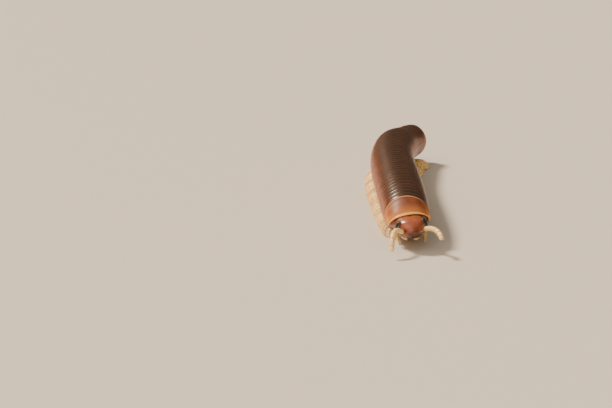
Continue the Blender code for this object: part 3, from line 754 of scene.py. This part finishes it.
def addEllipsoid(bm, centre, axes, radii, detail, colour=(0.1, 0.5)):
    # colour is its place on the map of the piece's cuticle
    made = bmesh.ops.create_icosphere(bm, subdivisions=detail, radius=1.0)["verts"]
    for v in made:
        a, b, c = [value * radius for value, radius in zip(v.co, radii)]
        v.co = centre + axes[0] * a + axes[1] * b + axes[2] * c
    uv = bm.loops.layers.uv.get("shellMap") or bm.loops.layers.uv.new("shellMap")
    for face in {face for v in made for face in v.link_faces}:
        for corner in face.loops:
            corner[uv].uv = colour
    return made


bm = bmesh.new()
rows, marks = [], []
crownRows = [head["crownStep"] * i for i in range(1, head["crownRows"] + 1)]
for out in (*head["rearRows"], *crownRows, *head["lipRows"]):
    row, values = [], []
    for i in range(head["sides"]):
        around = 2.0 * math.pi * (i / head["sides"] - 0.5)
        row.append(headPoint(out, around, headRelief(out, around)))
        values.append((around / (2 * math.pi), max(0.0, min(0.99, out / head["length"]))))
    rows.append(row)
    marks.append(values)
sweep(bm, rows, marks, wrap=1.0)
for hand in (1, -1):
    for place, radii, depth, colour in head["plates"]:
        axes = headAxes(place, hand)
        addEllipsoid(bm, headPoint(place[0], hand * place[1]) - axes[2] * depth, axes, radii, 3, colour)
capsule = finishPiece("head_capsule", bm, headShell, ["head"])
print("head", len(capsule.data.polygons))


# Eyes: a patch of small round lenses on each side

eyePatch = {
    "radii": (0.5, 0.68, 0.238), "depth": 0.1,
    # rows of lenses in a honeycomb, as far out as the patch has room
    "pitch": 0.135, "rowPitch": 0.87, "along": 4, "across": 5, "room": 0.8, "lens": (0.06, 0.06, 0.055),
}
for hand, word in ((1, "left"), (-1, "right")):
    bm = bmesh.new()
    axes = headAxes(head["eye"], hand)
    centre = headPoint(head["eye"][0], hand * head["eye"][1]) - axes[2] * eyePatch["depth"]
    long, wide, tall = eyePatch["radii"]
    addEllipsoid(bm, centre, axes, eyePatch["radii"], 4)
    for i in range(-eyePatch["along"], eyePatch["along"] + 1):
        for j in range(-eyePatch["across"], eyePatch["across"] + 1):
            a = (i + 0.5 * (j % 2)) * eyePatch["pitch"] / long
            b = j * eyePatch["pitch"] * eyePatch["rowPitch"] / wide
            if a * a + b * b < eyePatch["room"]:
                c = math.sqrt(1.0 - a * a - b * b)
                spot = centre + axes[0] * (a * long) + axes[1] * (b * wide) + axes[2] * (c * tall)
                addEllipsoid(bm, spot, axes, eyePatch["lens"], 2)
    finishPiece(f"eye_patch_{word}", bm, eyeShell, [f"eye_{word}"])
print("eyes")


# Antennae: seven articles and four small cones at the tip

antenna = {
    "lengths": (0.45, 0.8, 0.72, 0.68, 0.68, 0.72, 0.4),
    "radii": (0.31, 0.33, 0.34, 0.35, 0.35, 0.35, 0.32),
    "neck": 0.27, "sides": 16, "proud": 0.3, "rootDepth": 0.45, "rootRadius": 0.2,
    # place along an article, and how much of its swelling it has there
    "bead": ((0.04, 0.0), (0.14, 0.4), (0.4, 0.8), (0.7, 1.0), (0.88, 0.9), (0.96, 0.4)),
    "tip": ((0.04, 0.0), (0.14, 0.6), (0.36, 1.0), (0.58, 0.7), (0.78, -0.3), (0.92, -1.6), (0.99, -3.2)),
    # side, up and forward of the curve's last three points from the root
    "left": ((0.65, 0.2, 0.5), (1.35, 0.35, 2.0), (1.34, -0.85, 3.4)),
    "right": ((0.85, 0.8, 0.5), (1.75, 1.0, 1.9), (2.08, -1.55, 3.1)),
    "cones": 4, "coneSpread": 0.07, "cone": (0.035, 0.035, 0.08),
}


def bezier(points, t):
    # a point on the cubic curve through four control points
    u = 1.0 - t
    a, b, c, d = points
    return a * u ** 3 + b * (3 * u * u * t) + c * (3 * u * t * t) + d * t ** 3


for hand, word in ((1, "left"), (-1, "right")):
    bm = bmesh.new()
    axes = headAxes(head["socket"], hand)
    root = headPoint(head["socket"][0], hand * head["socket"][1]) + axes[2] * antenna["proud"]
    points = [root]
    for a, b, c in antenna[word]:
        points.append(root + frontSide * (hand * a) + frontUp * b + frontForward * c)
    total = sum(antenna["lengths"])
    centres, radii, values = [root - axes[2] * antenna["rootDepth"]], [antenna["rootRadius"]], [0.0]
    travelled = 0.0
    for number, (length, radius) in enumerate(zip(antenna["lengths"], antenna["radii"])):
        for place, swell in antenna["tip" if number == len(antenna["lengths"]) - 1 else "bead"]:
            centres.append(bezier(points, (travelled + place * length) / total))
            radii.append(antenna["neck"] + (radius - antenna["neck"]) * swell)
            values.append(number + 0.97 * place)
        travelled += length
    rows = tubeRows(centres, radii, antenna["sides"])
    sweep(bm, rows, [[(0.1, value)] * antenna["sides"] for value in values])
    end = bezier(points, 0.995)
    ahead = (bezier(points, 1.0) - bezier(points, 0.95)).normalized()
    across = ahead.orthogonal().normalized()
    for k in range(antenna["cones"]):
        offset = Matrix.Rotation(2 * math.pi * k / antenna["cones"], 3, ahead) @ across
        addEllipsoid(bm, end + offset * antenna["coneSpread"], (across, ahead.cross(across), ahead),
                     antenna["cone"], 2)
    finishPiece(f"feeler_{word}", bm, limbShell, [f"antenna_{word}"])
print("antennae")


# Tail: the last ring with its blunt point, and two rounded valves with a small plate below them

tail = {
    "length": 3.3, "sides": 64, "start": 0.15, "point": 0.3, "ring": body["rings"] + 2,
    # share of the length and of the radius
    "profile": ((-0.2, 0.92), (0.0, 0.95), (0.08, 0.962), (0.2, 0.97), (0.33, 0.955), (0.45, 0.93),
                (0.55, 0.87), (0.62, 0.8), (0.67, 0.71), (0.7, 0.62), (0.69, 0.56), (0.6, 0.5)),
    # side, up and share of the length of a valve's middle, and its half sizes
    "valve": (0.85, -0.25, 0.62), "valveRadii": (0.95, 1.85, 1.25),
    # half the slit between the valves, and the place, width and height of the lip along it
    "slit": 0.035, "lip": (0.1, 0.08, 0.09),
    # up and share of the length of the small plate's middle, and its half sizes
    "plate": (-1.95, 0.6), "plateRadii": (0.95, 0.4, 0.5),
    # on the map, the ring's first place and their range, and the places of a valve and of the plate
    "marks": (0.5, 0.4), "valveMark": (0.15, 0.7), "plateMark": (0.2, 0.6),
}
centre, side, up, back = station(trunkLength)
bm = bmesh.new()
rows, marks = [], []
for share, radius in tail["profile"]:
    mark = tail["ring"] + tail["marks"][0] + tail["marks"][1] * max(0.0, min(1.0, share))
    row, values = [], []
    for i in range(tail["sides"]):
        turn = i / tail["sides"] - 0.5
        across, tall = math.sin(2 * math.pi * turn), math.cos(2 * math.pi * turn)
        reach = tail["start"] + tail["length"] * share * (1.0 + tail["point"] * max(0.0, tall) ** 6)
        row.append(centre + side * (halfWidth(trunkLength) * radius * across)
                   + up * (halfHeight(trunkLength) * radius * tall) + back * reach)
        values.append((turn, mark))
    rows.append(row)
    marks.append(values)
sweep(bm, rows, marks, wrap=1.0)
lipPlace, lipWidth, lipHeight = tail["lip"]
colour = (tail["valveMark"][0], tail["ring"] + tail["valveMark"][1])
for hand in (1, -1):
    # the valves meet in the middle, each with a raised lip there
    a, b, c = tail["valve"]
    middle = centre + side * (hand * a) + up * b + back * (c * tail["length"])
    for v in addEllipsoid(bm, middle, (side, up, back), tail["valveRadii"], 4, colour):
        inset = hand * (v.co - centre).dot(side)
        v.co += side * (hand * max(0.0, tail["slit"] - inset))
        v.co += back * (lipHeight * bump(inset - lipPlace, lipWidth))
middle = centre + up * tail["plate"][0] + back * (tail["plate"][1] * tail["length"])
colour = (tail["plateMark"][0], tail["ring"] + tail["plateMark"][1])
addEllipsoid(bm, middle, (side, up, back), tail["plateRadii"], 3, colour)
tailPiece = finishPiece("tail_ring", bm, ringShell, ["tail"])
print("tail", len(tailPiece.data.polygons))


# Floor, light and camera

floorSkin = newMaterial("pale floor", {"Base Color": linear("d2cdc6"), "Roughness": 0.8, "IOR": 1.45})[0]
bm = bmesh.new()
bmesh.ops.create_grid(bm, x_segments=1, y_segments=1, size=8.0)
mesh = bpy.data.meshes.new("floor")
bm.to_mesh(mesh)
bm.free()
mesh.materials.append(floorSkin)
floor = bpy.data.objects.new("floor", mesh)
scene.collection.objects.link(floor)

world = bpy.data.worlds.new("studio")
world.use_nodes = True
world.node_tree.nodes["Background"].inputs[0].default_value = linear("e5d2bb")
world.node_tree.nodes["Background"].inputs[1].default_value = 0.2
scene.world = world

# soft lamps far away, each with the direction it shines from, how wide it looks in degrees, and its strength
studio = {
    "key": ((-0.55, 0.34, 0.76), 12.0, 5.5, "ffe8cc"),
    "overhead": ((0.1, -0.2, 1.0), 90.0, 0.6, "fff4e6"),
    "front": ((-0.5, -0.75, 0.42), 70.0, 2.15, "ffe6c6"),
}
for name, (direction, width, strength, colour) in studio.items():
    lamp = bpy.data.lights.new(name, "SUN")
    lamp.angle = math.radians(width)
    lamp.energy = strength
    lamp.color = linear(colour)[:3]
    made = bpy.data.objects.new(name, lamp)
    made.rotation_euler = Vector(direction).to_track_quat("Z", "Y").to_euler()
    scene.collection.objects.link(made)

# a long lens a little above the animal: its focal length is 1400 pixels where the picture is 612 wide
view = {"place": (-15.235, -208.69, 44.8), "down": 12.2, "focal": 1400.0, "width": 612.0}
lens = bpy.data.cameras.new("camera")
lens.sensor_width = 36.0
lens.lens = view["focal"] * lens.sensor_width / view["width"]
lens.clip_start, lens.clip_end = 0.005, 10.0
camera = bpy.data.objects.new("camera", lens)
camera.location = [value * mm for value in view["place"]]
camera.rotation_euler = (math.radians(90.0 - view["down"]), 0.0, 0.0)
scene.collection.objects.link(camera)
scene.camera = camera
print("floor, light and camera")
